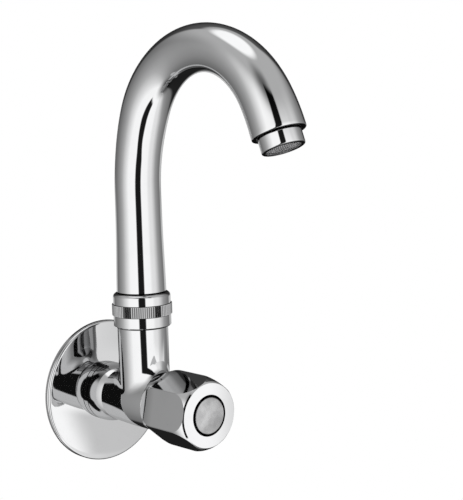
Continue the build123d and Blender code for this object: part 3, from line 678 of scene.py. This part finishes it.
class WALLTAP_OT_spout(bpy.types.Operator):
    """Draw the swan neck from its foot to the outlet, with its bore"""
    bl_idname = "walltap.spout"
    bl_label = "Swan Neck"

    def execute(self, context):
        along, stations = 0.0, []
        for length, bend_r in SPOUT_RUNS:
            stride = min(3.0, bend_r * 0.035) if bend_r else 3.6
            steps = max(2, round(length / stride))
            for k in range(steps):
                here = along + length * k / steps
                stations.append((*spout_middle(here), spout_radius(here)))
            along += length
        foot_y, foot_z, heading, foot_r = stations.pop(0)
        foot = [(foot_y, foot_z + lift, heading, foot_r - inset)
                for lift, inset in ((0.0, 0.3), (0.1, 0.1), (0.3, 0.0))]
        edge_r, tip_r = 0.5, PIPE_RADII[-1]
        edge = [(*spout_middle(SPOUT_LENGTH - edge_r + edge_r * math.sin(a)),
                 tip_r - edge_r + edge_r * math.cos(a)) for a in (0.0, 0.4, 0.8, 1.2, 1.571)]
        step_up = spout_middle(SPOUT_LENGTH - TIP_BORE_DEPTH)
        socket = [(*spout_middle(SPOUT_LENGTH), TIP_BORE_R), (*step_up, TIP_BORE_R),
                  (*step_up, BORE_R)]
        bore = [(*spout_middle(SPOUT_LENGTH * k / 48), BORE_R) for k in range(44, -1, -1)]
        plated(ringed("swan_neck", foot + stations + edge + socket + bore, 120),
               "spout", "spout_pipe")
        return {"FINISHED"}


class WALLTAP_OT_outlet(bpy.types.Operator):
    """Turn the ring that holds the mesh in the outlet"""
    bl_idname = "walltap.outlet"
    bl_label = "Outlet Ring"

    def execute(self, context):
        y, z, heading = spout_middle(SPOUT_LENGTH)
        in_pipe = [(7.75, -6.0), (9.3, -6.0), (9.3, -0.7), (8.6, -0.6), (8.6, 0.25)]
        ring = [(8.7, 0.4), (8.85, 0.6), (8.85, 5.5)]
        edge = [(8.25 + 0.6 * math.cos(a), 5.6 + 0.6 * math.sin(a))
                for a in (0.3, 0.6, 0.9, 1.2, 1.5)]
        mouth = [(7.35, 6.2), (7.15, 6.05), (7.15, 5.5), (7.75, 5.5)]
        stations = [(y - down * math.sin(heading), z + down * math.cos(heading), heading, r)
                    for r, down in in_pipe + ring + edge + mouth]
        plated(ringed("outlet_ring", stations, 120), "spout", "aerator_housing")
        return {"FINISHED"}


class WALLTAP_OT_mesh(bpy.types.Operator):
    """Weave the round wire mesh of the outlet"""
    bl_idname = "walltap.mesh"
    bl_label = "Outlet Mesh"

    def execute(self, context):
        y, z, heading = spout_middle(SPOUT_LENGTH)
        reach, pitch, wire_r, wave, depth = 7.5, 0.6, 0.12, 0.11, 5.2
        count = round(2 * reach / pitch)
        strides = 4 * count                            # one wave is two pitches, or 8 strides
        bpy.ops.object.select_all(action="DESELECT")
        bpy.ops.mesh.primitive_circle_add(vertices=6, radius=wire_r * MM, fill_type="NOTHING",
                                          rotation=(0.0, math.pi / 2, 0.0),
                                          location=(-reach * MM, 0.0, 0.0))
        strand = context.object
        bpy.ops.object.transform_apply(location=True, rotation=True, scale=True)
        bpy.ops.object.mode_set(mode="EDIT")
        bpy.ops.mesh.select_all(action="SELECT")
        for k in range(strides):
            rise = wave * (math.sin(math.pi * (k + 1) / 4) - math.sin(math.pi * k / 4))
            bpy.ops.mesh.extrude_region_move(TRANSFORM_OT_translate={
                "value": (2 * reach / strides * MM, 0.0, rise * MM)})
        bpy.ops.object.mode_set(mode="OBJECT")
        bpy.ops.object.select_all(action="DESELECT")
        for crossing in (0.0, math.pi / 2):
            for k in range(count):
                aside = (k + 0.5) * pitch - reach
                half = math.sqrt(reach * reach - aside * aside)    # cut to the round rim
                flip = (k % 2 == 0) != (crossing > 0.0)
                wire = strand.copy()
                wire.data = strand.data.copy()
                context.collection.objects.link(wire)
                wire.data.transform(Matrix.Diagonal((half / reach, 1.0, 1.0, 1.0)))
                wire.data.transform(Matrix.Rotation(crossing, 4, "Z")
                                    @ Matrix.Translation((0.0, aside * MM, 0.0))
                                    @ Matrix.Rotation(math.pi if flip else 0.0, 4, "X"))
                wire.select_set(True)
                context.view_layer.objects.active = wire
        bpy.data.objects.remove(strand)
        bpy.ops.object.join()
        mesh = context.object
        mesh.name = "outlet_mesh"
        middle = Vector((0.0, y - depth * math.sin(heading), z + depth * math.cos(heading))) * MM
        mesh.data.transform(Matrix.Translation(middle) @ Matrix.Rotation(heading, 4, "X"))
        bpy.ops.object.shade_smooth()
        stands_for(mesh, "spout", "aerator_screen", stainless(context.scene.wall_tap))
        return {"FINISHED"}


class WALLTAP_OT_cap(bpy.types.Operator):
    """Turn the satin cap in the face of the knob"""
    bl_idname = "walltap.cap"
    bl_label = "Satin Cap"

    def execute(self, context):
        side = [(7.0, 71.2), (7.9, 71.2), (7.9, 74.3)]
        dome = [(7.4 * k / 12 + 0.03, 75.2 - 0.4 * (k / 12) ** 2) for k in range(12, -1, -1)]
        back = [(0.03, 73.6), (6.9, 73.6)]
        profile = side + rounding(7.4, 74.3, 0.5, 8.0, 80.0, 7) + dome + back
        stands_for(turned_on_barrel("cap", profile, 96), "handle", "index_button",
                   satin_cap(context.scene.wall_tap))
        return {"FINISHED"}


class WALLTAP_OT_brass(bpy.types.Operator):
    """Finish the brass works: spout tail, headwork and spindle"""
    bl_idname = "walltap.brass"
    bl_label = "Brass Works"

    def execute(self, context):
        wear(("spout_tail", "headwork_bonnet", "spindle"), turned_brass(context.scene.wall_tap))
        return {"FINISHED"}


class WALLTAP_OT_seals(bpy.types.Operator):
    """Finish the rubber seals and gaskets"""
    bl_idname = "walltap.seals"
    bl_label = "Rubber Seals"

    def execute(self, context):
        wear(("spout_o_ring_lower", "spout_o_ring_upper", "aerator_washer", "bonnet_gasket",
              "seat_seal", "spindle_o_ring_rear", "spindle_o_ring_front"),
             seal_rubber(context.scene.wall_tap))
        return {"FINISHED"}


class WALLTAP_OT_bearings(bpy.types.Operator):
    """Finish the plastic slip rings and the flow straightener"""
    bl_idname = "walltap.bearings"
    bl_label = "Plastic Rings"

    def execute(self, context):
        wear(("spout_slip_ring", "aerator_insert", "spindle_washer"),
             bearing_plastic(context.scene.wall_tap))
        return {"FINISHED"}


class WALLTAP_OT_discs(bpy.types.Operator):
    """Finish the two ceramic valve discs"""
    bl_idname = "walltap.discs"
    bl_label = "Ceramic Discs"

    def execute(self, context):
        wear(("ceramic_disc_fixed", "ceramic_disc_moving"), valve_ceramic(context.scene.wall_tap))
        return {"FINISHED"}


class WALLTAP_OT_steel(bpy.types.Operator):
    """Finish the stainless circlip and screw"""
    bl_idname = "walltap.steel"
    bl_label = "Stainless Pieces"

    def execute(self, context):
        wear(("spindle_circlip", "knob_screw"), stainless(context.scene.wall_tap))
        return {"FINISHED"}


class WALLTAP_OT_stage(bpy.types.Operator):
    """Set up the floor, the light tent, the card, the lamps and the camera"""
    bl_idname = "walltap.stage"
    bl_label = "Studio and Camera"

    def execute(self, context):
        look = context.scene.wall_tap
        context.scene.view_settings.view_transform = "Standard"
        bpy.ops.object.select_all(action="DESELECT")
        bpy.ops.mesh.primitive_plane_add(size=40.0, location=(0.0, 0.0, -look.floor_drop))
        floor = context.object
        floor.name = "floor"
        floor.data.materials.append(pale_floor())
        bpy.ops.object.select_all(action="DESELECT")
        bpy.ops.mesh.primitive_uv_sphere_add(segments=96, ring_count=48, radius=look.tent_radius,
                                             location=(0.0, -0.05, 0.06))
        tent = context.object
        tent.name = "light_tent"
        bpy.ops.object.shade_smooth()
        tent.data.materials.append(tent_cloth(look))
        only_seen_by(tent, "glossy", "transmission")
        bounce_card(look)
        white_backdrop(look)
        soft_lamp("lamp_left", (-0.9, -0.7, 0.7), 7.0)
        soft_lamp("lamp_right", (0.8, -0.9, 0.5), 4.0)
        aim_camera(look)
        return {"FINISHED"}


OPERATORS = (
    WALLTAP_OT_plated, WALLTAP_OT_flange, WALLTAP_OT_spout, WALLTAP_OT_outlet, WALLTAP_OT_mesh,
    WALLTAP_OT_cap, WALLTAP_OT_brass, WALLTAP_OT_seals, WALLTAP_OT_bearings, WALLTAP_OT_discs,
    WALLTAP_OT_steel, WALLTAP_OT_stage)


class WALLTAP_PT_sidebar(bpy.types.Panel):
    """Steps that dress the wall tap"""
    bl_label = "Wall Tap"
    bl_idname = "WALLTAP_PT_sidebar"
    bl_space_type = "VIEW_3D"
    bl_region_type = "UI"
    bl_category = "Wall Tap"

    def draw(self, context):
        for name in WallTapLook.__annotations__:
            self.layout.prop(context.scene.wall_tap, name)
        for operator in OPERATORS:
            self.layout.operator(operator.bl_idname)


CLASSES = (WallTapLook, *OPERATORS, WALLTAP_PT_sidebar)


def register():
    for cls in CLASSES:
        bpy.utils.register_class(cls)
    bpy.types.Scene.wall_tap = PointerProperty(type=WallTapLook)


def unregister():
    del bpy.types.Scene.wall_tap
    for cls in reversed(CLASSES):
        bpy.utils.unregister_class(cls)


def main():
    register()
    for operator in OPERATORS:
        group, name = operator.bl_idname.split(".")
        getattr(getattr(bpy.ops, group), name)()


if __name__ == "__main__":
    main()
